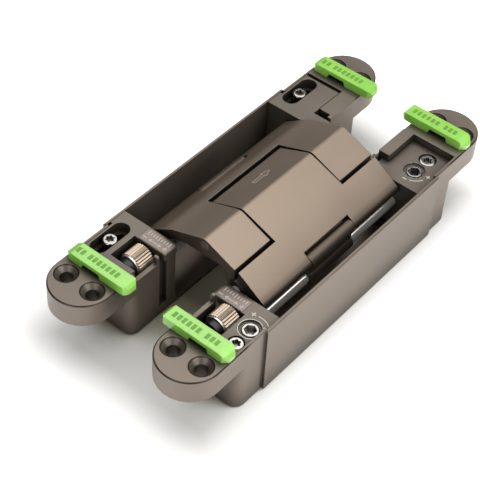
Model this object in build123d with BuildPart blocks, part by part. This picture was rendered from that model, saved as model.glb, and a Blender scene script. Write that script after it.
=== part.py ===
from build123d import *
from math import cos, pi, sin
import os

# Concealed hinge for a heavy cabinet door, shown fully open: two long leaves, two crossing
# arms, a link in each leaf. X runs across the leaves, Y along them, Z up.
# The origin lies between the leaves, on the surface that they rest on.

# leaves
leaf_length = 177.0
leaf_width = 25.0
leaf_pitch = 49.5
leaf_depth = 31.5
flange_thickness = 10.0
flange_length = 23.5
body_corner_radius = 4.0
side_wall_thickness = 1.2
bulge_width = 1.05
bulge_set_back = 13.6
bottom_edge_width = 0.8
top_edge_width = 0.5
screw_pitch = 12.5
screw_end_distance = 11.0
screw_bore_radius = 2.5
screw_sink_radius = 4.6
screw_sink_degrees = 90.0
overrun_length = 1.0

# pocket
inner_wall_thickness = 1.75
pocket_end_thickness = 3.0
mouth_set_back = 15.0
left_ledge_length = 1.4
right_ledge_length = -0.1
pocket_floor_height = 2.0
seat_floor_height = 5.0
seat_set_back = 24.2

# adjustment of the right leaf up and down, and of the left leaf along its length
depth_travel = 1.0
height_travel = 1.5

# linkage, as places in the end view: across from the middle, and down from the leaf's top
arm_pivot = (14.9, -5.4)
middle_pivot = (0.0, 6.75)
link_top = (25.2, -5.6)
link_foot = (24.6, -13.8)

# arms
arm_end_gap = 1.2
tab_length = 39.6
tab_gap = 0.8
knuckle_gap = 0.4
ridge_height = 9.9
ridge_radius = 4.0
ridge_floor_height = 2.0
ridge_floor_width = 9.0
bend_place = (15.6, 4.0)
base_underside = -0.9
tab_end = (13.8, 4.1)
hub_radius = 4.0
lug_radius = 2.6
notch_gap = 0.3
notch_radius = 3.9
notch_edge_width = 1.6

# shafts, pins and links
middle_pin_radius = 1.75
shaft_radius = 1.8
shaft_seat_length = 3.6
link_pin_radius = 1.0
link_pin_seat_length = 6.0
link_length = 25.4
barrel_radius = 2.75
barrel_bore_radius = 2.15
foot_radius = 3.4
link_web_thickness = 3.6
rod_radius = 1.6
rod_seat_length = 4.6
spacer_radius = 2.5
turning_gap = 0.1
fixed_gap = 0.02

# carriers, along the hinge from the face that they turn to the arms
carrier_set_back = 23.6
carrier_length = 18.8
carrier_ledge_length = 23.3
carrier_gap = 0.2
carrier_drop = 3.2
flank_length = 4.7
ear_set_back = 0.4
ear_width = 1.0
ear_depth = 3.0
bar_length = 6.9
step_width = 2.0
step_set_back = 3.3
step_length = 7.0
step_depth = 6.0
step_drop = 1.8
knob_wall_height = 3.3
knob_wall_along = (9.8, 21.1)
left_lip_width = 6.95
left_lip_set_back = 10.5
right_lip_width = 4.75
right_lip_set_back = 7.0
lip_gap = 0.25

# knobs
knob_radius = 4.7
knob_ridges = 26
knob_ridge_depth = 0.35
knob_set_back = 8.1
knob_length = 7.0
knob_ring_length = 0.8
knob_ring_radius = 4.3
knob_cap_radius = 3.6
knob_cap_length = 2.6
spindle_radius = 1.6
spindle_length = 4.0
spindle_bore_radius = 1.75
left_knob_axis = (20.2, -4.7)
right_knob_axis = (20.0, -6.5)
knob_bay_gap = 0.9

# screws, as places across the hinge and along it from the carrier's face
slot_width = 6.9
slot_length = 18.0
slot_neck_width = 4.3
slot_depth = 4.6
slot_head_radius = 2.95
slot_head_drop = 0.5
slot_shank_radius = 2.0
slot_thread_depth = 4.0
slot_place = (31.6, 13.5)
adjuster_radius = 3.1
adjuster_rim_radius = 4.25
adjuster_rim_depth = 0.8
adjuster_drop = 0.4
near_adjuster_place = (31.2, 10.7)
far_adjuster_place = (27.4, 9.7)
socket_depth = 2.4
socket_width = 4.0
small_socket_width = 2.5
clamp_length = 4.6
clamp_drop = 0.2
near_clamp_place = (31.4, 18.6)
near_clamp_radius = 3.1
far_clamp_place = (27.7, 18.1)
far_clamp_radius = 3.5

# clips
near_clip_distance = 0.6
far_clip_distance = 4.2
clip_width = 6.6
clip_corner_width = 1.8
clip_outline = ((12.3, 0.0), (20.2, 0.0), (20.9, 2.0), (28.4, 2.0), (29.0, 0.0), (37.0, 0.0), (37.0, 1.6),
                (36.0, 2.9), (34.0, 3.8), (9.2, 3.8), (7.9, 2.6), (7.4, 1.0), (8.3, 0.3))

top = leaf_depth
leaf_middle = leaf_pitch / 2
inner_side = leaf_middle - leaf_width / 2
outer_side = leaf_middle + leaf_width / 2
bulge_side = outer_side + bulge_width
pocket_inside = inner_side + inner_wall_thickness
leaf_end = leaf_length / 2
body_end = leaf_end - flange_length
bulge_end = body_end - bulge_set_back
pocket_end = body_end - pocket_end_thickness
mouth_end = body_end - mouth_set_back
seat_start = body_end - seat_set_back
screw_row = leaf_length - 2 * screw_end_distance
carrier_face = body_end - carrier_set_back
carrier_end = carrier_face + carrier_length
carrier_ledge_end = carrier_face + carrier_ledge_length
carrier_wide_end = bulge_end - side_wall_thickness / 2 - height_travel - carrier_gap
flank_end = carrier_face + flank_length
bar_end = carrier_face + bar_length
step_start = carrier_face + step_set_back
knob_start = carrier_face + knob_set_back
drum_end = knob_start + knob_length
cap_start = drum_end + knob_ring_length
cap_end = cap_start + knob_cap_length
half_shaft = carrier_face + shaft_seat_length
half_rod = carrier_face + rod_seat_length
half_arm = carrier_face - arm_end_gap
half_tab = tab_length / 2
half_link = link_length / 2
half_notch = half_link + notch_gap
half_link_pin = half_link + link_pin_seat_length


def from_face(place):
    """A place given from the carrier's face, as one from the middle of the hinge."""
    return (place[0], carrier_face + place[1])


leaves = {"left": -1, "right": 1}
ends = {"near": -1, "far": 1}
ledges = {"left": body_end + left_ledge_length, "right": body_end + right_ledge_length}
lips = {
    "left": (inner_side + left_lip_width, carrier_face + left_lip_set_back),
    "right": (inner_side + right_lip_width, carrier_face + right_lip_set_back),
}
drops = {"left": 0.0, "right": carrier_drop}
rises = {"left": carrier_gap, "right": depth_travel + carrier_gap}
knobs = {"left": left_knob_axis, "right": right_knob_axis}
slot_middle = from_face(slot_place)
adjusters = {"near": from_face(near_adjuster_place), "far": from_face(far_adjuster_place)}
clamps = {"near": from_face(near_clamp_place), "far": from_face(far_clamp_place)}
clamp_radii = {"near": near_clamp_radius, "far": far_clamp_radius}

os.makedirs("parts", exist_ok=True)


def save(part, label):
    """Names a finished piece and writes it."""
    part.label = label
    export_step(part, f"parts/{label}.step")


def block(side, across, end, along, height, mode=Mode.ADD):
    """A block with square corners, given by where its faces lie: from the middle of the hinge
    towards one side, from the middle towards one end, and up from the floor."""
    corners = [(side * u, end * v, z) for u, v, z in zip(across, along, height)]
    sizes = [abs(b - a) for a, b in zip(*corners)]
    middle = [(a + b) / 2 for a, b in zip(*corners)]
    with Locations(tuple(middle)):
        Box(*sizes, mode=mode)


def bar(side, place, radius, along, mode=Mode.ADD):
    """A round bar that lies along the hinge, from one distance along it to another."""
    middle = (along[0] + along[1]) / 2
    with Locations((side * place[0], middle, top + place[1])):
        Cylinder(radius, abs(along[1] - along[0]), rotation=(90, 0, 0), mode=mode)


def post(side, end, place, radius, height, mode=Mode.ADD):
    """An upright round post or hole, from one height to another."""
    with Locations((side * place[0], end * place[1], (height[0] + height[1]) / 2)):
        Cylinder(radius, height[1] - height[0], mode=mode)


def socket(side, end, place, across, height, depth):
    """A hexagon socket sunk into a screw's head."""
    with BuildSketch(Plane.XY.offset(height)) as hexagon:
        with Locations((side * place[0], end * place[1])):
            RegularPolygon(across / 2, 6, major_radius=False)
    extrude(hexagon.sketch, amount=-depth, mode=Mode.SUBTRACT)


def outline(side, points):
    """Points of the end view, given towards one side and from the leaf's top."""
    return [(side * u, top + z) for u, z in points]


# Housings: each one casting with a long round-ended flange, a deep body and a pocket
for name, side in leaves.items():
    lip = lips[name]
    with BuildPart() as housing:
        with BuildSketch(Plane.XY.offset(top)):
            with Locations((side * leaf_middle, 0)):
                SlotOverall(leaf_length, leaf_width, rotation=90)
        extrude(amount=-flange_thickness)
        with BuildSketch(Plane.XY.offset(top)):
            with Locations((side * leaf_middle, 0)):
                RectangleRounded(leaf_width, 2 * body_end, body_corner_radius)
        extrude(amount=-leaf_depth)
        block(side, (leaf_middle, bulge_side), 1, (-bulge_end, bulge_end), (0, top))
        chamfer(housing.faces().sort_by(Axis.Z)[0].edges(), bottom_edge_width)
        chamfer(housing.faces().sort_by(Axis.Z)[-1].edges(), top_edge_width)

        # the pocket widens inside the bulge and is open towards the middle of the hinge
        wide = (pocket_inside, bulge_side - side_wall_thickness)
        narrow = (pocket_inside, outer_side - side_wall_thickness)
        mouth = (0, leaf_middle)
        wide_end = bulge_end - side_wall_thickness / 2
        deep = (pocket_floor_height, top)
        shallow = (seat_floor_height, top)
        for end in (-1, 1):
            block(side, wide, end, (0, wide_end), shallow, Mode.SUBTRACT)
            block(side, wide, end, (0, seat_start), deep, Mode.SUBTRACT)
            block(side, mouth, end, (0, seat_start), deep, Mode.SUBTRACT)
            block(side, mouth, end, (0, mouth_end), shallow, Mode.SUBTRACT)
            block(side, narrow, end, (0, pocket_end), shallow, Mode.SUBTRACT)
            block(side, narrow, end, (0, ledges[name]), (top - flange_thickness, top), Mode.SUBTRACT)
        block(side, (inner_side, lip[0]), 1, (lip[1], ledges[name]), shallow)
        gate = [carrier_face + reach for reach in knob_wall_along]
        block(side, (0, pocket_inside), -1, gate, (top - knob_wall_height, top), Mode.SUBTRACT)

        # screw holes, two side by side at each end
        with Locations((side * leaf_middle, 0, top)):
            with GridLocations(screw_pitch, screw_row, 2, 2):
                CounterSinkHole(screw_bore_radius, screw_sink_radius, leaf_depth, screw_sink_degrees)

        # blind holes in the left pocket's floor, for the screws in the slots
        if name == "left":
            thread = (seat_floor_height - slot_thread_depth, seat_floor_height)
            for end in (-1, 1):
                post(side, end, slot_middle, slot_shank_radius + fixed_gap, thread, Mode.SUBTRACT)
    save(housing.part, f"{name}_housing")

# Carriers: a block in each end of each pocket, which holds the shafts and can be adjusted
for name, side in leaves.items():
    level = top - drops[name]
    low = seat_floor_height + rises[name]
    lip = lips[name]
    inside = pocket_inside + carrier_gap
    outside = outer_side - side_wall_thickness - carrier_gap
    wide_outside = bulge_side - side_wall_thickness - carrier_gap
    for where, end in ends.items():
        with BuildPart() as carrier:
            block(side, (inside, outside), end, (carrier_face, carrier_end), (low, level))
            block(side, (inside, wide_outside), end, (carrier_face, carrier_wide_end), (low, level))
            ledge = (top - flange_thickness + rises[name], level)
            block(side, (inside, outside), end, (carrier_face, carrier_ledge_end), ledge)
            block(side, (inner_side, leaf_middle), end, (carrier_face, flank_end), (low, level))
            if where == "far":
                corner = (0, lip[0] + lip_gap)
                block(side, corner, end, (bar_end, body_end + overrun_length), (0, top), Mode.SUBTRACT)
            if (name, where) == ("right", "far"):
                # two steps that reach out over the inner wall
                base = level - step_depth
                reach = (inner_side - step_width, inner_side - lip_gap)
                block(side, reach, end, (step_start, bar_end), (base, level))
                block(side, reach, end, (bar_end, step_start + step_length), (base, level - step_drop))
                block(side, (inner_side - step_width, inside), end, (step_start, flank_end), (base, level))
            else:
                reach = (inner_side - ear_width, leaf_middle)
                ear = (carrier_face + ear_set_back, bar_end)
                block(side, reach, end, ear, (level - ear_depth, level))
            seat = (end * carrier_face, end * half_shaft)
            bar(side, arm_pivot, shaft_radius + fixed_gap, seat, Mode.SUBTRACT)
            seat = (end * carrier_face, end * half_rod)
            bar(side, link_foot, rod_radius + fixed_gap, seat, Mode.SUBTRACT)

            if where == "near":
                # the bay that the speed knob turns in
                axis = knobs[name]
                room = knob_radius + knob_bay_gap
                bay = (top + axis[1] - room, top)
                block(side, (0, axis[0] + room), end, (bar_end, cap_end + knob_bay_gap), bay, Mode.SUBTRACT)
                reach = (end * (knob_start - spindle_length), end * bar_end)
                bar(side, axis, spindle_bore_radius, reach, Mode.SUBTRACT)

            if name == "left":
                # an oblong slot with a narrower one through its floor
                narrow_length = slot_length - slot_width + slot_neck_width
                for length, width, depth in (
                    (slot_length, slot_width, slot_depth),
                    (narrow_length, slot_neck_width, leaf_depth),
                ):
                    with BuildSketch(Plane.XY.offset(level)):
                        with Locations((side * slot_middle[0], end * slot_middle[1])):
                            SlotOverall(length, width, rotation=90)
                    extrude(amount=-depth, mode=Mode.SUBTRACT)
            else:
                # a threaded hole with a sunk rim for the adjuster, a small one for the clamp
                hole = adjusters[where]
                rim = level - adjuster_rim_depth
                foot = level - clamp_drop - clamp_length
                post(side, end, hole, adjuster_radius + turning_gap, (0, top), Mode.SUBTRACT)
                post(side, end, hole, adjuster_rim_radius, (rim, top), Mode.SUBTRACT)
                post(side, end, clamps[where], clamp_radii[where] + fixed_gap, (foot, top), Mode.SUBTRACT)
        save(carrier.part, f"{name}_{where}_carrier")


def arm_base(side):
    """Outline of the wide foot of an arm, from the bend in its roof to the round lug."""
    with BuildSketch(Plane.XZ) as foot:
        with BuildLine():
            Line(*outline(side, (bend_place, (bend_place[0] + knuckle_gap, base_underside))))
        with Locations(outline(side, (link_top,))[0]):
            Circle(lug_radius)
        make_hull()
    return foot.sketch


def arm_bridge(side):
    """Outline of the stretch over the ridge, down to the hub on the other side."""
    corners = (
        (bend_place[0] + knuckle_gap, base_underside),
        bend_place,
        (0, ridge_height),
        (-tab_end[0], tab_end[1]),
        (-tab_end[0], arm_pivot[1]),
        (hub_radius - arm_pivot[0], arm_pivot[1]),
        (-ridge_floor_width, ridge_floor_height),
        (ridge_floor_width, ridge_floor_height),
    )
    with BuildSketch(Plane.XZ) as bridge:
        with BuildLine():
            Polyline(*outline(side, corners), close=True)
        make_face()
        fillet(bridge.vertices().sort_by(Axis.Y)[-1], ridge_radius)
        with Locations(outline(-side, (arm_pivot,))[0]):
            Circle(hub_radius)
    return bridge.sketch


def notch(side):
    """Outline of the notch that the upper barrel of the link swings in."""
    with BuildSketch(Plane.XZ) as gap:
        with Locations(outline(side, (link_top,))[0]):
            Circle(notch_radius)
        with Locations((side * (link_top[0] - notch_edge_width), top)):
            Rectangle(4 * lug_radius, leaf_depth, align=(Align.MIN if side > 0 else Align.MAX, Align.CENTER))
    return gap.sketch


# Arms: the tab arm has one wide knuckle in the middle, the fork arm one at each end
link_pin_along = (-half_link_pin, half_link_pin)
with BuildPart() as tab_arm:
    extrude(arm_base(1), amount=half_arm, both=True)
    extrude(arm_bridge(1), amount=half_tab, both=True)
    extrude(notch(1), amount=half_notch, both=True, mode=Mode.SUBTRACT)
    bar(-1, arm_pivot, shaft_radius + turning_gap, (-half_tab, half_tab), Mode.SUBTRACT)
    bar(1, middle_pivot, middle_pin_radius + turning_gap, (-half_tab, half_tab), Mode.SUBTRACT)
    bar(1, link_top, link_pin_radius + fixed_gap, link_pin_along, Mode.SUBTRACT)
save(tab_arm.part, "tab_arm")

with BuildPart() as fork_arm:
    extrude(arm_base(-1), amount=half_arm, both=True)
    prong_length = half_arm - half_tab - tab_gap
    for start in (-half_arm, half_tab + tab_gap):
        extrude(arm_bridge(-1).moved(Location((0, -start, 0))), amount=prong_length)
    extrude(notch(-1), amount=half_notch, both=True, mode=Mode.SUBTRACT)
    bar(1, arm_pivot, shaft_radius + turning_gap, (-half_arm, half_arm), Mode.SUBTRACT)
    bar(1, middle_pivot, middle_pin_radius + fixed_gap, (-half_arm, half_arm), Mode.SUBTRACT)
    bar(-1, link_top, link_pin_radius + fixed_gap, link_pin_along, Mode.SUBTRACT)
save(fork_arm.part, "fork_arm")

with BuildPart() as middle_pin:
    bar(1, middle_pivot, middle_pin_radius, (-half_arm, half_arm))
save(middle_pin.part, "middle_pin")

# Shafts, rods, links, spacers and link pins, mirrored from leaf to leaf
for name, side in leaves.items():
    with BuildPart() as arm_shaft:
        bar(side, arm_pivot, shaft_radius, (-half_shaft, half_shaft))
    save(arm_shaft.part, f"{name}_arm_shaft")

    with BuildPart() as link_rod:
        bar(side, link_foot, rod_radius, (-half_rod, half_rod))
    save(link_rod.part, f"{name}_link_rod")

    for where, end in ends.items():
        with BuildPart() as spacer:
            reach = (end * (half_link + turning_gap), end * (carrier_face - turning_gap))
            bar(side, link_foot, spacer_radius, reach)
            bar(side, link_foot, rod_radius + fixed_gap, reach, Mode.SUBTRACT)
        save(spacer.part, f"{name}_{where}_spacer")

    with BuildPart() as link:
        foot, head = [Vector(*place) for place in outline(side, (link_foot, link_top))]
        run = head - foot
        middle = (foot + head) / 2
        slope = Vector(1, 0).get_signed_angle(run, Vector(0, 0, 1))
        with BuildSketch(Plane.XZ):
            with Locations((middle.X, middle.Y)):
                SlotCenterToCenter(run.length, link_web_thickness, rotation=slope)
            with Locations(foot):
                Circle(foot_radius)
            with Locations(head):
                Circle(barrel_radius)
            with Locations(foot):
                Circle(rod_radius + turning_gap, mode=Mode.SUBTRACT)
            with Locations(head):
                Circle(barrel_bore_radius, mode=Mode.SUBTRACT)
        extrude(amount=half_link, both=True)
    save(link.part, f"{name}_link")

    with BuildPart() as link_pin:
        bar(side, link_top, link_pin_radius, link_pin_along)
    save(link_pin.part, f"{name}_link_pin")

# Speed knobs: a knurled drum with a plain ring, a spindle into the carrier and a dark end cap
for name, side in leaves.items():
    axis = knobs[name]
    rim = []
    for step in range(2 * knob_ridges):
        turn = pi * step / knob_ridges
        reach = knob_radius - knob_ridge_depth * (step % 2)
        rim.append((reach * cos(turn), reach * sin(turn)))
    with BuildPart() as knob:
        with BuildSketch(Plane.XZ.offset(knob_start)):
            with Locations(outline(side, (axis,))[0]):
                Polygon(*rim, align=None)
        extrude(amount=knob_length)
        bar(side, axis, knob_ring_radius, (-drum_end, -cap_start))
        bar(side, axis, spindle_radius, (spindle_length - knob_start, -knob_start))
    save(knob.part, f"{name}_speed_knob")
    with BuildPart() as cap:
        bar(side, axis, knob_cap_radius, (-cap_start, -cap_end))
    save(cap.part, f"{name}_knob_cap")

# Screws: sunk clamp screws in the left slots, adjusters and clamp plugs on the right
for where, end in ends.items():
    with BuildPart() as slot_screw:
        head_top = top - slot_head_drop
        head_foot = top - slot_depth + fixed_gap
        post(-1, end, slot_middle, slot_head_radius, (head_foot, head_top))
        post(-1, end, slot_middle, slot_shank_radius, (seat_floor_height - slot_thread_depth, head_foot))
        socket(-1, end, slot_middle, small_socket_width, head_top, socket_depth)
    save(slot_screw.part, f"left_{where}_clamp_screw")

    level = top - carrier_drop
    place = adjusters[where]
    with BuildPart() as adjuster:
        post(1, end, place, adjuster_radius, (seat_floor_height + fixed_gap, level - adjuster_drop))
        socket(1, end, place, socket_width, level - adjuster_drop, socket_depth)
    save(adjuster.part, f"right_{where}_adjuster")

    place = clamps[where]
    with BuildPart() as clamp:
        plug_top = level - clamp_drop
        post(1, end, place, clamp_radii[where], (plug_top - clamp_length, plug_top))
        socket(1, end, place, small_socket_width, plug_top, socket_depth)
    save(clamp.part, f"right_{where}_clamp_screw")

# Clips: bent plastic bridges that stand on the flanges and overhang towards the middle
clip_reach = [across for across, height in clip_outline]
clip_span = max(clip_reach) - min(clip_reach)
clip_middle = (max(clip_reach) + min(clip_reach)) / 2
clip_height = max(height for across, height in clip_outline)
clip_starts = {
    "near": -body_end - near_clip_distance - clip_width,
    "far": body_end + far_clip_distance,
}
for name, side in leaves.items():
    for where, start in clip_starts.items():
        with BuildPart() as clip:
            with BuildSketch(Plane.XZ.offset(-start)):
                with BuildLine():
                    Polyline(*outline(side, clip_outline), close=True)
                make_face()
            extrude(amount=-clip_width)
            with BuildSketch(Plane.XY.offset(top)) as plan:
                with Locations((side * clip_middle, start + clip_width / 2)):
                    Rectangle(clip_span, clip_width)
                chamfer(plan.vertices(), clip_corner_width)
            extrude(amount=clip_height, mode=Mode.INTERSECT)
        save(clip.part, f"{name}_{where}_clip")
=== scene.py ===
import bpy
from math import cos, pi, radians, sin
from mathutils import Matrix, Vector


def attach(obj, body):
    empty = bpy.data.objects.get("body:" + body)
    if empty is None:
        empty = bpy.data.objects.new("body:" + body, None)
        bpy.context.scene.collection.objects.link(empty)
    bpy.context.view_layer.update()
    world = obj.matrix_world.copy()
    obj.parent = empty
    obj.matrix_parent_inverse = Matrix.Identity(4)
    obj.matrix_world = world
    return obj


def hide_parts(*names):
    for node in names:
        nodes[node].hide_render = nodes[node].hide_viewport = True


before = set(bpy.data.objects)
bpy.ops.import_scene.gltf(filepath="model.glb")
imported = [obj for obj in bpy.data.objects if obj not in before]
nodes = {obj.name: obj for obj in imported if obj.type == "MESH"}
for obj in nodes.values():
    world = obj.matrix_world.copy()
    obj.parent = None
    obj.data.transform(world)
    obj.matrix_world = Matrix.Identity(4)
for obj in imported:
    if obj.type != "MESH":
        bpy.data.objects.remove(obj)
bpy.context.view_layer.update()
mm = 0.001
leafTop = 31.5  # height of the leaves' top face, mm
rightLevel = 28.3  # height of the sunk floors of the right carriers, mm
print("frame loaded:", len(nodes), "nodes")


def tint(red, green, blue):
    # an sRGB colour of 0 to 255, none near black, as the linear values that a shader takes
    return tuple(((value / 255 + 0.055) / 1.055) ** 2.4 for value in (red, green, blue)) + (1.0,)


# the photo's camera, in mm and degrees, worked out from the leaves' outlines and screw holes
photoView = {
    "focalPixels": 1419.8,
    "framePixels": 480,
    "turn": 37.08,
    "tilt": 45.92,
    "roll": 3.74,
    "distance": 507.5,
    "target": (3.5, -24.6, leafTop),
    "nearest": 20,
}


def placeCamera(settings):
    turn, tilt, roll = (radians(settings[key]) for key in ("turn", "tilt", "roll"))
    forward = Vector((-sin(turn) * cos(tilt), cos(turn) * cos(tilt), -sin(tilt)))
    right = forward.cross(Vector((0, 0, 1))).normalized()
    up = right.cross(forward)
    leanRight = right * cos(roll) + up * sin(roll)
    leanUp = up * cos(roll) - right * sin(roll)
    data = bpy.data.cameras.new("photoCamera")
    data.lens = data.sensor_width * settings["focalPixels"] / settings["framePixels"]
    data.clip_start = settings["nearest"] * mm
    camera = bpy.data.objects.new("photoCamera", data)
    bpy.context.scene.collection.objects.link(camera)
    place = Matrix((leanRight, leanUp, -forward)).transposed().to_4x4()
    place.translation = (Vector(settings["target"]) - forward * settings["distance"]) * mm
    camera.matrix_world = place
    bpy.context.scene.camera = camera


placeCamera(photoView)
print("camera placed")


def wire(tree, source, target):
    tree.links.new(source, target)


def newGroup(name, inputs, outputs):
    # an empty node group whose sockets are all numbers, apart from Normal
    group = bpy.data.node_groups.new(name, "ShaderNodeTree")
    sockets = [("INPUT", label) for label in inputs] + [("OUTPUT", label) for label in outputs]
    for way, label in sockets:
        kind = "NodeSocketVector" if label == "Normal" else "NodeSocketFloat"
        socket = group.interface.new_socket(label, in_out=way, socket_type=kind)
        if way == "INPUT":
            socket.default_value = inputs[label]
    return group, group.nodes.new("NodeGroupInput"), group.nodes.new("NodeGroupOutput")


def placeGroup(tree, group, values):
    node = tree.nodes.new("ShaderNodeGroup")
    node.node_tree = group
    for label, value in values.items():
        node.inputs[label].default_value = value
    return node


def mathNode(tree, operation, first, second=None, clamp=False):
    node = tree.nodes.new("ShaderNodeMath")
    node.operation = operation
    node.use_clamp = clamp
    for socket, value in zip(node.inputs, (first, second)):
        if isinstance(value, (int, float)):
            socket.default_value = value
        elif value is not None:
            wire(tree, value, socket)
    return node.outputs[0]


def vectorNode(tree, operation, first, second=None):
    node = tree.nodes.new("ShaderNodeVectorMath")
    node.operation = operation
    wire(tree, first, node.inputs[0])
    if second is not None:
        wire(tree, second, node.inputs["Scale" if operation == "SCALE" else 1])
    return node.outputs["Value" if operation == "DOT_PRODUCT" else "Vector"]


def noiseNode(tree, vector, scale, detail, rough):
    node = tree.nodes.new("ShaderNodeTexNoise")
    node.inputs["Detail"].default_value = detail
    node.inputs["Roughness"].default_value = rough
    wire(tree, vector, node.inputs["Vector"])
    if isinstance(scale, (int, float)):
        node.inputs["Scale"].default_value = scale
    else:
        wire(tree, scale, node.inputs["Scale"])
    return node.outputs[0]


def mixColour(tree, factor, first, second):
    node = tree.nodes.new("ShaderNodeMix")
    node.data_type = "RGBA"
    wire(tree, factor, node.inputs["Factor"])
    for socket, value in ((node.inputs["A"], first), (node.inputs["B"], second)):
        if isinstance(value, tuple):
            socket.default_value = value
        else:
            wire(tree, value, socket)
    return node.outputs["Result"]


def coordinates(tree, kind="Object"):
    return tree.nodes.new("ShaderNodeTexCoord").outputs[kind]


def axesOf(tree, vector):
    node = tree.nodes.new("ShaderNodeSeparateXYZ")
    wire(tree, vector, node.inputs[0])
    return node.outputs


def opennessNode(tree, reach, samples):
    node = tree.nodes.new("ShaderNodeAmbientOcclusion")
    node.samples = samples
    wire(tree, reach, node.inputs["Distance"])
    return node.outputs["AO"]


# shared effects; fine, slow, patches and streaks hold a noise's detail and roughness
grain = {"fine": (3.0, 0.6), "slow": (2.0, 0.5), "fineShare": 0.45, "contrast": 2.2, "shift": -0.6}


def makeGrain(settings):
    # fine orange-peel grain with a slow change of tone, as on sprayed die casting
    inputs = {"Scale": 2500.0, "Slow Scale": 45.0}
    group, start, end = newGroup("castGrain", inputs, ("Tone", "Height"))
    place = coordinates(group)
    fine = noiseNode(group, place, start.outputs["Scale"], *settings["fine"])
    slow = noiseNode(group, place, start.outputs["Slow Scale"], *settings["slow"])
    finePart = mathNode(group, "MULTIPLY", fine, settings["fineShare"])
    slowPart = mathNode(group, "MULTIPLY", slow, 1 - settings["fineShare"])
    mixed = mathNode(group, "ADD", finePart, slowPart)
    spread = mathNode(group, "MULTIPLY", mixed, settings["contrast"])
    tone = mathNode(group, "ADD", spread, settings["shift"], clamp=True)
    wire(group, tone, end.inputs["Tone"])
    wire(group, fine, end.inputs["Height"])
    return group


wear = {"samples": 6, "patchScale": 400.0, "patches": (4.0, 0.6)}


def makeEdges(settings):
    # a softly rounded normal, and a mask of the edges that handling has polished
    inputs = {"Radius": 0.0004, "Strength": 6.0}
    group, start, end = newGroup("edgeWear", inputs, ("Mask", "Normal"))
    bevel = group.nodes.new("ShaderNodeBevel")
    bevel.samples = settings["samples"]
    wire(group, start.outputs["Radius"], bevel.inputs["Radius"])
    flat = group.nodes.new("ShaderNodeNewGeometry").outputs["Normal"]
    alike = vectorNode(group, "DOT_PRODUCT", bevel.outputs["Normal"], flat)
    turned = mathNode(group, "SUBTRACT", 1.0, alike)
    strong = mathNode(group, "MULTIPLY", turned, start.outputs["Strength"])
    patchy = noiseNode(group, coordinates(group), settings["patchScale"], *settings["patches"])
    wire(group, mathNode(group, "MULTIPLY", strong, patchy, clamp=True), end.inputs["Mask"])
    wire(group, bevel.outputs["Normal"], end.inputs["Normal"])
    return group


grinding = {"streaks": (4.0, 0.6)}


def makeLines(settings):
    # lines left by grinding or turning, drawn out along the hinge
    inputs = {"Scale": 900.0, "Stretch": 0.03}
    group, start, end = newGroup("groundLines", inputs, ("Tone", "Height"))
    squeeze = group.nodes.new("ShaderNodeCombineXYZ")
    squeeze.inputs["X"].default_value = 1.0
    squeeze.inputs["Z"].default_value = 1.0
    wire(group, start.outputs["Stretch"], squeeze.inputs["Y"])
    shaped = vectorNode(group, "MULTIPLY", coordinates(group), squeeze.outputs[0])
    lines = noiseNode(group, shaped, start.outputs["Scale"], *settings["streaks"])
    wire(group, lines, end.inputs["Tone"])
    wire(group, lines, end.inputs["Height"])
    return group


recessSamples = 8


def makeRecess(samples):
    # how enclosed a spot is, for painted shade in pockets, slots and gaps
    group, start, end = newGroup("recessShade", {"Reach": 0.012, "Power": 1.5}, ("Mask",))
    openness = opennessNode(group, start.outputs["Reach"], samples)
    lit = mathNode(group, "POWER", openness, start.outputs["Power"])
    wire(group, mathNode(group, "SUBTRACT", 1.0, lit, clamp=True), end.inputs["Mask"])
    return group


def makeBand(name, axis):
    # a band between two places on one axis, such as the painted dark reflection on the bevel below
    # a top face
    inputs = {"Low": 0.0, "High": 0.0, "Fade": 0.00002}
    group, start, end = newGroup(name, inputs, ("Mask",))
    place = axesOf(group, coordinates(group))[axis]
    above = mathNode(group, "SUBTRACT", place, start.outputs["Low"])
    above = mathNode(group, "DIVIDE", above, start.outputs["Fade"], clamp=True)
    below = mathNode(group, "SUBTRACT", start.outputs["High"], place)
    below = mathNode(group, "DIVIDE", below, start.outputs["Fade"], clamp=True)
    wire(group, mathNode(group, "MULTIPLY", above, below), end.inputs["Mask"])
    return group


def makeEndFaces():
    # faces that look along the hinge, cut square at the ends of an arm, which get painted shade
    group, start, end = newGroup("endFaces", {"Squareness": 0.7}, ("Mask",))
    along = mathNode(group, "ABSOLUTE", axesOf(group, coordinates(group, "Normal"))["Y"])
    square = mathNode(group, "GREATER_THAN", along, start.outputs["Squareness"])
    wire(group, square, end.inputs["Mask"])
    return group


roofUpward = 0.8  # a face whose normal points up more than this belongs to the roof


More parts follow.
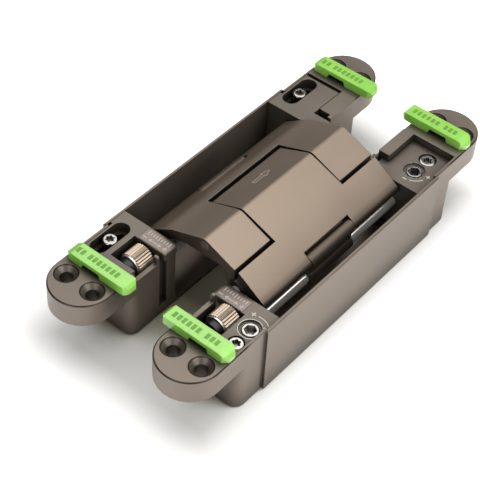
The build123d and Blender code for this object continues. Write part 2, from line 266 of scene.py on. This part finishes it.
def makeRoof(upward):
    # turns the normal of an arm's roof little by little away from the ridge, so that its flats
    # shade as one curve
    inputs = {"Normal": (0, 0, 0), "Start": 0.009, "End": 0.027,
              "First Slope": 0.36, "Last Slope": 0.6}
    group, start, end = newGroup("curvedRoof", inputs, ("Normal",))
    place = axesOf(group, coordinates(group))
    facing = coordinates(group, "Normal")
    reach = mathNode(group, "ABSOLUTE", place["X"])
    away = mathNode(group, "SUBTRACT", reach, start.outputs["Start"])
    length = mathNode(group, "SUBTRACT", start.outputs["End"], start.outputs["Start"])
    along = mathNode(group, "DIVIDE", away, length, clamp=True)
    bend = mathNode(group, "SUBTRACT", start.outputs["Last Slope"], start.outputs["First Slope"])
    steeper = mathNode(group, "MULTIPLY", along, bend)
    slope = mathNode(group, "ADD", steeper, start.outputs["First Slope"])
    side = mathNode(group, "SIGN", place["X"])
    outward = mathNode(group, "MULTIPLY", mathNode(group, "SINE", slope), side)
    curved = group.nodes.new("ShaderNodeCombineXYZ")
    wire(group, outward, curved.inputs["X"])
    wire(group, mathNode(group, "COSINE", slope), curved.inputs["Z"])
    roof = mathNode(group, "GREATER_THAN", axesOf(group, facing)["Z"], upward)
    roof = mathNode(group, "MULTIPLY", roof, mathNode(group, "GREATER_THAN", away, 0.0))
    change = vectorNode(group, "SUBTRACT", curved.outputs[0], facing)
    placed = group.nodes.new("ShaderNodeVectorTransform")
    placed.convert_from, placed.convert_to = "OBJECT", "WORLD"
    wire(group, vectorNode(group, "SCALE", change, roof), placed.inputs[0])
    total = vectorNode(group, "ADD", start.outputs["Normal"], placed.outputs[0])
    wire(group, vectorNode(group, "NORMALIZE", total), end.inputs["Normal"])
    return group


grainGroup = makeGrain(grain)
edgeGroup = makeEdges(wear)
lineGroup = makeLines(grinding)
recessGroup = makeRecess(recessSamples)
roofGroup = makeRoof(roofUpward)
endGroup = makeEndFaces()
bandGroups = {"height": makeBand("heightBand", "Z"), "length": makeBand("lengthBand", "Y")}
print("shared effects built")


def makeTone(tree, settings, pattern, edges):
    # dark and light mixed by the pattern, then worn edges, a band, and painted shade on end faces
    # and in recesses
    tone = mixColour(tree, pattern.outputs["Tone"], settings["dark"], settings["light"])
    tone = mixColour(tree, edges.outputs["Mask"], tone, settings["bare"])
    if "band" in settings:
        band = placeGroup(tree, bandGroups[settings["bandAlong"]], settings["band"]).outputs["Mask"]
        if "middle" in settings:
            middle = placeGroup(tree, bandGroups["length"], settings["middle"]).outputs["Mask"]
            band = mathNode(tree, "MULTIPLY", band, mathNode(tree, "SUBTRACT", 1.0, middle))
        tone = mixColour(tree, band, tone, settings["bandTone"])
    if "ends" in settings:
        ends = placeGroup(tree, endGroup, settings["ends"])
        tone = mixColour(tree, ends.outputs["Mask"], tone, settings["endTone"])
    if "recess" in settings:
        recess = placeGroup(tree, recessGroup, settings["recess"])
        tone = mixColour(tree, recess.outputs["Mask"], tone, settings["deep"])
    return tone


def makeMaterial(name, settings):
    material = bpy.data.materials.new(name)
    material.use_nodes = True
    tree = material.node_tree
    shader = tree.nodes["Principled BSDF"]
    for label, value in settings.get("shader", {}).items():
        shader.inputs[label].default_value = value
    patternGroup = lineGroup if settings.get("ground") else grainGroup
    pattern = placeGroup(tree, patternGroup, settings["pattern"])
    edges = placeGroup(tree, edgeGroup, settings["edges"])
    wire(tree, makeTone(tree, settings, pattern, edges), shader.inputs["Base Color"])
    low, high = settings["roughness"]
    spread = mathNode(tree, "MULTIPLY", pattern.outputs["Tone"], high - low)
    wire(tree, mathNode(tree, "ADD", spread, low), shader.inputs["Roughness"])
    normal = edges.outputs["Normal"]
    if "roof" in settings:
        roof = placeGroup(tree, roofGroup, settings["roof"])
        wire(tree, normal, roof.inputs["Normal"])
        normal = roof.outputs["Normal"]
    bump = tree.nodes.new("ShaderNodeBump")
    bump.inputs["Strength"].default_value = settings["bump"]
    bump.inputs["Distance"].default_value = settings["bumpDepth"] * mm
    wire(tree, pattern.outputs["Height"], bump.inputs["Height"])
    wire(tree, normal, bump.inputs["Normal"])
    wire(tree, bump.outputs["Normal"], shader.inputs["Normal"])
    return material


def castFinish(dark, light, bare, metallic=0.65, **more):
    # sprayed zinc casting, with painted shade where the hinge closes round it
    return {
        "dark": dark, "light": light, "bare": bare,
        "shader": {"Metallic": metallic}, "roughness": (0.36, 0.5),
        "pattern": {"Scale": 2600.0, "Slow Scale": 40.0},
        "edges": {"Radius": 0.00035, "Strength": 3.0},
        "bump": 0.25, "bumpDepth": 0.04,
        # painted shade in pockets, slots and gaps
        "recess": {"Reach": 0.012, "Power": 1.5}, "deep": tint(48, 43, 36),
    } | more


def paintFinish(dark, light, bare):
    # flat paint of the printed marks
    return {
        "dark": dark, "light": light, "bare": bare, "roughness": (0.45, 0.6),
        "pattern": {"Scale": 3000.0, "Slow Scale": 500.0},
        "edges": {"Radius": 0.00002, "Strength": 1.0},
        "bump": 0.1, "bumpDepth": 0.01,
    }


# sizes in a finish are in metres, apart from bumpDepth in mm
finishes = {
    "leafCoat": castFinish(
        tint(118, 107, 97), tint(136, 125, 114), tint(172, 161, 148),
        # the height band is a painted dark reflection along the bevel below the top face
        bandAlong="height", bandTone=tint(62, 54, 47),
        band={"Low": (leafTop - 0.5) * mm, "High": (leafTop - 0.03) * mm},
        middle={"Low": -62 * mm, "High": 62 * mm, "Fade": 4 * mm},  # no painted dark reflection on the bevel there
    ),
    "carrierCoat": castFinish(tint(112, 103, 94), tint(130, 121, 110), tint(168, 158, 145)),
    "armCoat": castFinish(
        tint(140, 125, 110), tint(156, 140, 125), tint(190, 174, 156), metallic=0.78,
        # painted shade: the arm darker towards its lower parts and on its square end faces
        bandAlong="height", bandTone=tint(78, 68, 60), band={"High": 0.0295, "Fade": 0.004},
        ends={"Squareness": 0.7}, endTone=tint(78, 69, 60),
        roof={"Start": 0.009, "End": 0.0266,
              "First Slope": radians(20.7), "Last Slope": radians(38)},
    ),
    "linkCoat": castFinish(tint(96, 84, 74), tint(114, 101, 89), tint(168, 152, 136)),
    "plateCoat": castFinish(tint(136, 126, 118), tint(154, 144, 135), tint(186, 176, 166)),
    "knobBronze": {
        "dark": tint(172, 154, 133), "light": tint(206, 188, 165), "bare": tint(234, 221, 202),
        "shader": {"Metallic": 0.8}, "roughness": (0.25, 0.4),
        "pattern": {"Scale": 2200.0, "Slow Scale": 150.0},
        "edges": {"Radius": 0.00012, "Strength": 5.0},
        "bump": 0.15, "bumpDepth": 0.02,
        "bandAlong": "length", "bandTone": tint(226, 222, 214),
        "band": {"Low": -57.4 * mm, "High": -56.55 * mm},
        # painted shade in the grooves of the knob
        "recess": {"Reach": 0.0015, "Power": 1.2}, "deep": tint(48, 40, 32),
    },
    "knobBlack": {
        "dark": tint(18, 17, 16), "light": tint(30, 28, 27), "bare": tint(60, 58, 55),
        "roughness": (0.3, 0.42),
        "pattern": {"Scale": 2500.0, "Slow Scale": 120.0},
        "edges": {"Radius": 0.0002, "Strength": 3.0},
        "bump": 0.1, "bumpDepth": 0.02,
    },
    "groundSteel": {
        "dark": tint(214, 211, 206), "light": tint(240, 238, 233), "bare": tint(247, 246, 243),
        "shader": {"Metallic": 0.62}, "roughness": (0.1, 0.18),
        "ground": True, "pattern": {"Scale": 1500.0, "Stretch": 0.02},
        "edges": {"Radius": 0.00025, "Strength": 2.0},
        "bump": 0.1, "bumpDepth": 0.01,
    },
    "screwSteel": {
        "dark": tint(160, 157, 152), "light": tint(182, 179, 174), "bare": tint(222, 220, 215),
        "shader": {"Metallic": 1.0}, "roughness": (0.14, 0.24),
        "pattern": {"Scale": 1200.0, "Slow Scale": 300.0},
        "edges": {"Radius": 0.00012, "Strength": 3.0},
        "bump": 0.04, "bumpDepth": 0.01,
        # painted shade in the sockets
        "recess": {"Reach": 0.002, "Power": 1.3}, "deep": tint(44, 40, 36),
    },
    "clipGreen": {
        "dark": tint(142, 208, 78), "light": tint(162, 225, 100), "bare": tint(208, 244, 156),
        "shader": {"Coat Weight": 0.8, "Subsurface Weight": 0.4,
                   "Subsurface Radius": (0.35, 1.0, 0.18), "Subsurface Scale": 0.004},
        "roughness": (0.32, 0.45),
        "pattern": {"Scale": 1200.0, "Slow Scale": 90.0},
        "edges": {"Radius": 0.0005, "Strength": 1.5},
        "bump": 0.1, "bumpDepth": 0.02,
    },
    # darker green than the clips, as painted shade on the embossed ribs
    "clipRib": {
        "dark": tint(92, 150, 44), "light": tint(112, 172, 60), "bare": tint(140, 200, 84),
        "roughness": (0.4, 0.55),
        "pattern": {"Scale": 1500.0, "Slow Scale": 120.0},
        "edges": {"Radius": 0.00006, "Strength": 1.0},
        "bump": 0.1, "bumpDepth": 0.01,
    },
    "arrowPaint": paintFinish(tint(160, 147, 134), tint(184, 171, 157), tint(194, 181, 168)),
    "labelPaint": paintFinish(tint(164, 153, 143), tint(192, 182, 172), tint(200, 190, 180)),
    "markPaint": paintFinish(tint(186, 179, 169), tint(214, 207, 198), tint(222, 216, 208)),
}
materials = {name: makeMaterial(name, settings) for name, settings in finishes.items()}

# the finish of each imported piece, by the first of these words that its name holds
wears = (
    ("housing", "leafCoat"), ("carrier", "carrierCoat"), ("clip", "clipGreen"),
    ("knob_cap", "knobBlack"), ("knob", "knobBronze"), ("adjuster", "screwSteel"),
    ("screw", "screwSteel"), ("pin", "screwSteel"), ("rod", "groundSteel"),
    ("shaft", "groundSteel"), ("spacer", "groundSteel"), ("link", "linkCoat"),
    ("arm", "armCoat"),
)
for name, node in nodes.items():
    finish = next(finish for word, finish in wears if word in name)
    for placed in node.material_slots:
        placed.material = materials[finish]
print("materials placed:", len(materials))


def addPiece(name, body, mesh, finish):
    mesh.materials.append(materials[finish])
    piece = bpy.data.objects.new(name, mesh)
    bpy.context.scene.collection.objects.link(piece)
    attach(piece, body)
    return piece


# marks: thin raised shapes, drawn on a plane as ribbons along a line or as filled outlines
markHeight = 0.05
touching = 1e-6  # a ribbon whose two ends are nearer than this is closed


def offsets(line, closed, width):
    # how far each point's two edges stand from it, mitred where the line turns
    count = len(line)
    sides = []
    for index in range(count):
        before = line[index - 1] if index or closed else None
        after = line[(index + 1) % count] if index < count - 1 or closed else None
        normals = []
        for first, second in ((before, line[index]), (line[index], after)):
            if first is not None and second is not None:
                run = (Vector(second) - Vector(first)).normalized()
                normals.append(Vector((-run.y, run.x)))
        middle = sum(normals, Vector((0, 0))).normalized()
        sides.append(middle * width / 2 / middle.dot(normals[0]))
    return sides


def ribbonSolid(ribbon, width, height, first):
    # (flat point, height) corners and the faces of one ribbon, four corners to each point
    closed = (Vector(ribbon[0]) - Vector(ribbon[-1])).length < touching
    line = ribbon[:-1] if closed else ribbon
    corners, faces = [], []
    for spot, side in zip(line, offsets(line, closed, width)):
        left, right = Vector(spot) + side, Vector(spot) - side
        corners += [(left, 0.0), (right, 0.0), (right, height), (left, height)]
    spans = len(line) if closed else len(line) - 1
    for span in range(spans):
        near, far = first + 4 * span, first + 4 * ((span + 1) % len(line))
        for turn in range(4):
            ahead = (turn + 1) % 4
            faces.append((near + ahead, near + turn, far + turn, far + ahead))
    if not closed:
        last = first + 4 * spans
        faces.append((first, first + 1, first + 2, first + 3))
        faces.append((last + 3, last + 2, last + 1, last))
    return corners, faces


def patchSolid(outline, height, first):
    # (flat point, height) corners and the faces of a filled anticlockwise outline
    count = len(outline)
    top = first + count
    corners = [(flat, lift) for lift in (0.0, height) for flat in outline]
    faces = [tuple(first + corner for corner in reversed(range(count))),
             tuple(top + corner for corner in range(count))]
    for corner in range(count):
        ahead = (corner + 1) % count
        faces.append((first + corner, first + ahead, top + ahead, top + corner))
    return corners, faces


def drawMarks(name, body, finish, origin, ribbons=(), patches=(), width=0.0,
              height=markHeight, slope=0.0):
    # flat points are (across, along) in mm from origin, on a plane that rises by slope across
    across = Vector((1, 0, slope)).normalized()
    along = Vector((0, 1, 0))
    normal = across.cross(along)
    points, faces = [], []
    solids = [(ribbonSolid, (ribbon, width)) for ribbon in ribbons]
    solids += [(patchSolid, (patch,)) for patch in patches]
    for makeSolid, shape in solids:
        corners, sides = makeSolid(*shape, height, len(points))
        faces += sides
        for flat, lift in corners:
            spot = Vector(origin) + across * flat[0] + along * flat[1] + normal * lift
            points.append(tuple(spot * mm))
    mesh = bpy.data.meshes.new(name)
    mesh.from_pydata(points, [], faces)
    addPiece(name, body, mesh, finish)


def arc(radius, start, end, steps):
    turns = [radians(start + (end - start) * step / steps) for step in range(steps + 1)]
    return [(radius * cos(turn), radius * sin(turn)) for turn in turns]


def moved(stroke, dx, dy):
    return [(x + dx, y + dy) for x, y in stroke]


def dash(x, y, reach):
    return [[(x - reach, y), (x + reach, y)]]


def cross(x, y, reach, width):
    # one bar across, and a half bar on each side of it
    above = [(x, y + width / 2), (x, y + reach)]
    below = [(x, y - reach), (x, y - width / 2)]
    return dash(x, y, reach) + [above, below]


def roundedBox(x, y, length, width, corner, steps):
    # outline of a rectangle with round corners, anticlockwise
    across, along = length / 2 - corner, width / 2 - corner
    outline = []
    for right, up, start in ((1, 1, 0), (-1, 1, 90), (-1, -1, 180), (1, -1, 270)):
        quarter = arc(corner, start, start + 90, steps)
        outline += moved(quarter, x + right * across, y + up * along)
    return outline


# outlined arrow on the tab arm's left slope
armArrow = {
    "place": (-7.5, 0.4, 38.25), "slope": 0.42, "length": 9.2, "shaft": 1.3,
    "head": 3.2, "headLength": 3.4, "line": 0.34,
}


def markArm(settings):
    tail, tip = -settings["length"] / 2, settings["length"] / 2
    neck = tip - settings["headLength"]
    shaft, head = settings["shaft"] / 2, settings["head"] / 2
    edge = [(-shaft, tail), (shaft, tail), (shaft, neck), (head, neck), (0, tip),
            (-head, neck), (-shaft, neck), (-shaft, tail)]
    drawMarks("armArrow", "tab_arm_body", "arrowPaint", settings["place"], [edge],
              width=settings["line"], slope=settings["slope"])


markArm(armArrow)

# turning marks beside the adjusters, and a painted highlight: a bright steel ring round each one's
# sunk rim
adjusterMarks = {
    "near": {"centre": (31.2, -52.1), "arc": (6.3, 52, 104),
             "plus": (27.9, -46.2), "minus": (34.4, -48.6)},
    "far": {"centre": (27.4, 51.1), "arc": (5.9, -75, -22),
            "plus": (33.5, 51.4), "minus": (27.0, 44.9)},
    "arcSteps": 14, "line": 0.42, "sign": 0.95,
    "rim": 4.4, "rimSteps": 64, "rimWidth": 0.28,
}


def markAdjuster(end, mark, settings):
    x, y = mark["centre"]
    origin, line, sign = (0, 0, rightLevel), settings["line"], settings["sign"]
    strokes = [moved(arc(*mark["arc"], settings["arcSteps"]), x, y)]
    strokes += cross(*mark["plus"], sign, line) + dash(*mark["minus"], sign)
    drawMarks(end + "TurnMarks", "right_frame", "markPaint", origin, strokes, width=line)
    # a bright ring as painted highlight on the edge of the sunk rim
    rim = moved(arc(settings["rim"], 0, 360, settings["rimSteps"]), x, y)
    drawMarks(end + "RimHighlight", "right_frame", "screwSteel", origin, [rim],
              width=settings["rimWidth"])


for end in ("near", "far"):
    markAdjuster(end, adjusterMarks[end], adjusterMarks)

# raised plates over the near bars: a double arrow between minus and plus, and a row of ticks
plates = {
    "left": {"body": "left_frame", "middle": (-17.9, -45.0), "size": (12.6, 6.0),
             "level": leafTop},
    "right": {"body": "right_frame", "middle": (18.0, -45.2), "size": (12.4, 5.8),
              "level": rightLevel},
    "thick": 0.14, "corner": 0.5, "cornerSteps": 4, "line": 0.5,
    "sign": 0.95, "signFrom": 4.7,
    "arrowRow": -1.3, "tip": 3.0, "head": 1.3, "headHalf": 0.9,
    "tickRow": 1.3, "tickGap": 1.2, "ticksEachSide": 4, "tick": 0.7,
    "longTick": 1.05, "longEvery": 4,
}


def makePlate(side, plate, settings):
    name, body, line = side + "Plate", plate["body"], settings["line"]
    x, middle = plate["middle"]
    outline = roundedBox(x, middle, *plate["size"], settings["corner"], settings["cornerSteps"])
    drawMarks(name, body, "plateCoat", (0, 0, plate["level"]), patches=[outline],
              height=settings["thick"])
    y = middle + settings["arrowRow"]
    tip, half = settings["tip"], settings["headHalf"]
    neck = tip - settings["head"]
    heads = [[(x + neck, y - half), (x + tip, y), (x + neck, y + half)],
             [(x - neck, y + half), (x - tip, y), (x - neck, y - half)]]
    strokes = dash(x, y, neck) + dash(x - settings["signFrom"], y, settings["sign"])
    strokes += cross(x + settings["signFrom"], y, settings["sign"], line)
    row = middle + settings["tickRow"]
    for place in range(-settings["ticksEachSide"], settings["ticksEachSide"] + 1):
        reach = settings["tick"] if place % settings["longEvery"] else settings["longTick"]
        across = x + place * settings["tickGap"]
        strokes.append([(across, row - reach), (across, row + reach)])
    above = (0, 0, plate["level"] + settings["thick"])
    drawMarks(name + "Marks", body, "labelPaint", above, strokes, heads, width=line)


for side in ("left", "right"):
    makePlate(side, plates[side], plates)

# short raised ribs on the clips' tops, in two groups, read from the same side on both leaves; their
# darker green is painted shade
clipRibs = {
    "left": (33.0, 30.8, 27.4, 25.3, 23.2, 21.1, 19.0, 16.9, 14.8),
    "right": (11.8, 13.9, 16.0, 18.1, 20.2, 22.3, 26.2, 28.3, 30.4),
    "middle": {"near": -68.9, "far": 72.5},
    "top": leafTop + 3.8, "reach": 1.17, "width": 1.25, "rise": 0.12,
}


def makeRibs(settings):
    reach = settings["reach"]
    for side, sign in (("left", -1), ("right", 1)):
        for end, y in settings["middle"].items():
            strokes = [[(sign * out, y - reach), (sign * out, y + reach)] for out in settings[side]]
            drawMarks(side + end.capitalize() + "Ribs", side + "_leaf", "clipRib",
                      (0, 0, settings["top"]), strokes,
                      width=settings["width"], height=settings["rise"])


makeRibs(clipRibs)
print("marks drawn")

# screws with rounded heads and true sockets, in place of the plain ones; a socket has its kind,
# half its width and its depth
leftClamp = {
    "body": "left_leaf", "top": 31.0, "foot": 1.0, "radius": 2.95, "round": 0.75,
    "shank": 2.0, "neck": 26.92, "socket": ("star", 1.45, 1.5),
}
rightClamp = {"body": "right_frame", "top": rightLevel - 0.2, "foot": 23.5}
adjuster = {"top": 27.9, "foot": 5.02, "radius": 3.1, "round": 0.3, "socket": ("hexagon", 2.0, 2.4)}
screws = {
    "left_near_clamp_screw": leftClamp | {"place": (-31.6, -54.9)},
    "left_far_clamp_screw": leftClamp | {"place": (-31.6, 54.9)},
    "right_near_clamp_screw": rightClamp | {
        "place": (31.4, -60.0), "radius": 3.1, "round": 0.8, "socket": ("star", 1.5, 1.5)},
    "right_far_clamp_screw": rightClamp | {
        "place": (27.7, 59.5), "radius": 3.5, "round": 1.0, "socket": ("star", 1.6, 1.5)},
    "right_near_adjuster": adjuster | {"body": "near_adjuster_body", "place": (31.2, -52.1)},
    "right_far_adjuster": adjuster | {"body": "far_adjuster_body", "place": (27.4, 51.1)},
}
turning = {"segments": 96, "headSteps": 6, "headDrop": 0.8, "lip": 0.12, "starDepth": 0.14}


def socketReach(kind, size, angle):
    # how far a star of six points, or a hexagon, reaches at an angle
    if kind == "star":
        return size * (1 + turning["starDepth"] * cos(6 * angle))
    return size / cos((angle + pi / 6) % (pi / 3) - pi / 6)


def screwRings(settings):
    # (reach, height, shaped as the socket) from the socket's floor over the head to the foot
    size, depth = settings["socket"][1:]
    top, radius, curve = settings["top"], settings["radius"], settings["round"]
    lip, steps = turning["lip"], turning["headSteps"]
    rings = [(size, top - depth, True), (size, top - lip, True), (size + lip, top, True)]
    for step in range(steps + 1):
        turn = radians(90 * step / steps)
        drop = curve * turning["headDrop"] * (1 - cos(turn))
        rings.append((radius - curve + curve * sin(turn), top - drop, False))
    if "shank" in settings:
        rings += [(radius, settings["neck"], False), (settings["shank"], settings["neck"], False)]
    rings.append((rings[-1][0], settings["foot"], False))
    return rings


def makeScrew(name, settings):
    rings, segments = screwRings(settings), turning["segments"]
    kind = settings["socket"][0]
    x, y = settings["place"]
    points, faces = [], []
    for reach, height, shaped in rings:
        for step in range(segments):
            turn = 2 * pi * step / segments
            out = socketReach(kind, reach, turn) if shaped else reach
            points.append((x + out * cos(turn), y + out * sin(turn), height))
    for ring in range(len(rings) - 1):
        first, second = ring * segments, (ring + 1) * segments
        for step in range(segments):
            ahead = (step + 1) % segments
            faces.append((first + step, second + step, second + ahead, first + ahead))
    last = (len(rings) - 1) * segments
    faces.append(tuple(range(segments)))
    faces.append(tuple(last + step for step in reversed(range(segments))))
    mesh = bpy.data.meshes.new(name + "Turned")
    mesh.from_pydata([tuple(value * mm for value in point) for point in points], [], faces)
    piece = addPiece(name + "Turned", settings["body"], mesh, "screwSteel")
    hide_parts(name)


for name, settings in screws.items():
    makeScrew(name, settings)
print("screws turned:", len(screws))

# the floor shows white to the eye and in reflections, and keeps the hinge's shadow, with painted
# shade where the leaves shut it in; sizes in m
stage = {
    "size": 6.0, "tone": tint(236, 235, 232), "roughness": 0.9, "specular": 0.1,
    # the darker tone is painted shade on the floor between the leaves
    "lift": 0.84, "deep": tint(150, 144, 124), "gapSamples": 32,
    "clearance": {"Half Width": 0.034, "Half Length": 0.08, "Fade": 0.03},
    "gap": {"Reach": 0.07, "Closed": 0.3, "Open": 0.46},
}


def makeClearance(settings):
    # rises from nothing under the hinge to full at some distance from it
    group, start, end = newGroup("clearOfHinge", settings["clearance"], ("Mask",))
    place = axesOf(group, coordinates(group))
    squares = []
    for axis, label in (("X", "Half Width"), ("Y", "Half Length")):
        reach = mathNode(group, "ABSOLUTE", place[axis])
        away = mathNode(group, "SUBTRACT", reach, start.outputs[label])
        away = mathNode(group, "MAXIMUM", away, 0.0)
        squares.append(mathNode(group, "MULTIPLY", away, away))
    distance = mathNode(group, "SQRT", mathNode(group, "ADD", *squares))
    mask = mathNode(group, "DIVIDE", distance, start.outputs["Fade"], clamp=True)
    wire(group, mask, end.inputs["Mask"])
    return group


def makeGap(settings):
    # painted shade on the floor that the hinge shuts in on both sides, darker than the open floor
    # beside it
    group, start, end = newGroup("paintedFloorShade", settings["gap"], ("Mask",))
    openness = opennessNode(group, start.outputs["Reach"], settings["gapSamples"])
    spread = mathNode(group, "SUBTRACT", start.outputs["Open"], start.outputs["Closed"])
    short = mathNode(group, "SUBTRACT", start.outputs["Open"], openness)
    wire(group, mathNode(group, "DIVIDE", short, spread, clamp=True), end.inputs["Mask"])
    return group


clearGroup = makeClearance(stage)
gapGroup = makeGap(stage)


def seenRays(tree):
    # one for the eye, for reflections and through glass, so that all three show the white ground
    rays = tree.nodes.new("ShaderNodeLightPath").outputs
    straight = mathNode(tree, "MAXIMUM", rays["Is Camera Ray"], rays["Is Glossy Ray"])
    return mathNode(tree, "MAXIMUM", straight, rays["Is Transmission Ray"])


def makeStage(settings):
    half = settings["size"] / 2
    corners = [(-half, -half, 0), (half, -half, 0), (half, half, 0), (-half, half, 0)]
    mesh = bpy.data.meshes.new("floor")
    mesh.from_pydata(corners, [], [(0, 1, 2, 3)])
    floor = bpy.data.objects.new("floor", mesh)
    bpy.context.scene.collection.objects.link(floor)
    material = bpy.data.materials.new("paleFloor")
    material.use_nodes = True
    tree = material.node_tree
    shader = tree.nodes["Principled BSDF"]
    gap = placeGroup(tree, gapGroup, settings["gap"]).outputs["Mask"]
    tone = mixColour(tree, gap, settings["tone"], settings["deep"])
    wire(tree, tone, shader.inputs["Base Color"])
    shader.inputs["Roughness"].default_value = settings["roughness"]
    shader.inputs["Specular IOR Level"].default_value = settings["specular"]
    shader.inputs["Emission Color"].default_value = (1, 1, 1, 1)
    clear = placeGroup(tree, clearGroup, settings["clearance"]).outputs["Mask"]
    lift = mathNode(tree, "MULTIPLY", clear, settings["lift"])
    glow = mathNode(tree, "MULTIPLY", seenRays(tree), lift)
    wire(tree, glow, shader.inputs["Emission Strength"])
    mesh.materials.append(material)


makeStage(stage)

# studio light: a broad panel overhead and behind, softer boxes to the right and in front
lamps = {
    "skyPanel": {"place": (0.15, 0.285, 0.8), "toward": (0.15, 0.285, 0.0),
                 "size": (1.5, 0.87), "power": 10.0},
    "rightPanel": {"place": (0.8, -0.1, 0.5), "toward": (0, 0, 0),
                   "size": (0.6, 0.6), "power": 3.4},
    "frontPanel": {"place": (0.1, -0.9, 0.6), "toward": (0, 0, 0),
                   "size": (0.6, 0.6), "power": 3.0},
}


def makeLamp(name, settings):
    data = bpy.data.lights.new(name, "AREA")
    data.shape = "RECTANGLE"
    data.size, data.size_y = settings["size"]
    data.energy = settings["power"]
    lamp = bpy.data.objects.new(name, data)
    bpy.context.scene.collection.objects.link(lamp)
    lamp.location = settings["place"]
    aim = Vector(settings["toward"]) - Vector(settings["place"])
    lamp.rotation_euler = aim.to_track_quat("-Z", "Y").to_euler()


for name, settings in lamps.items():
    makeLamp(name, settings)

surround = {"low": 0.16, "high": 0.7}  # strength at the horizon and overhead


def makeWorld(settings):
    world = bpy.data.worlds.new("studio")
    bpy.context.scene.world = world
    world.use_nodes = True
    tree = world.node_tree
    rise = mathNode(tree, "MAXIMUM", axesOf(tree, coordinates(tree, "Generated"))["Z"], 0.0)
    climb = mathNode(tree, "MULTIPLY", rise, settings["high"] - settings["low"])
    grade = mathNode(tree, "ADD", climb, settings["low"])
    strength = mathNode(tree, "MAXIMUM", grade, seenRays(tree))
    wire(tree, strength, tree.nodes["Background"].inputs["Strength"])


makeWorld(surround)
bpy.context.scene.view_settings.view_transform = "Standard"
print("studio ready")
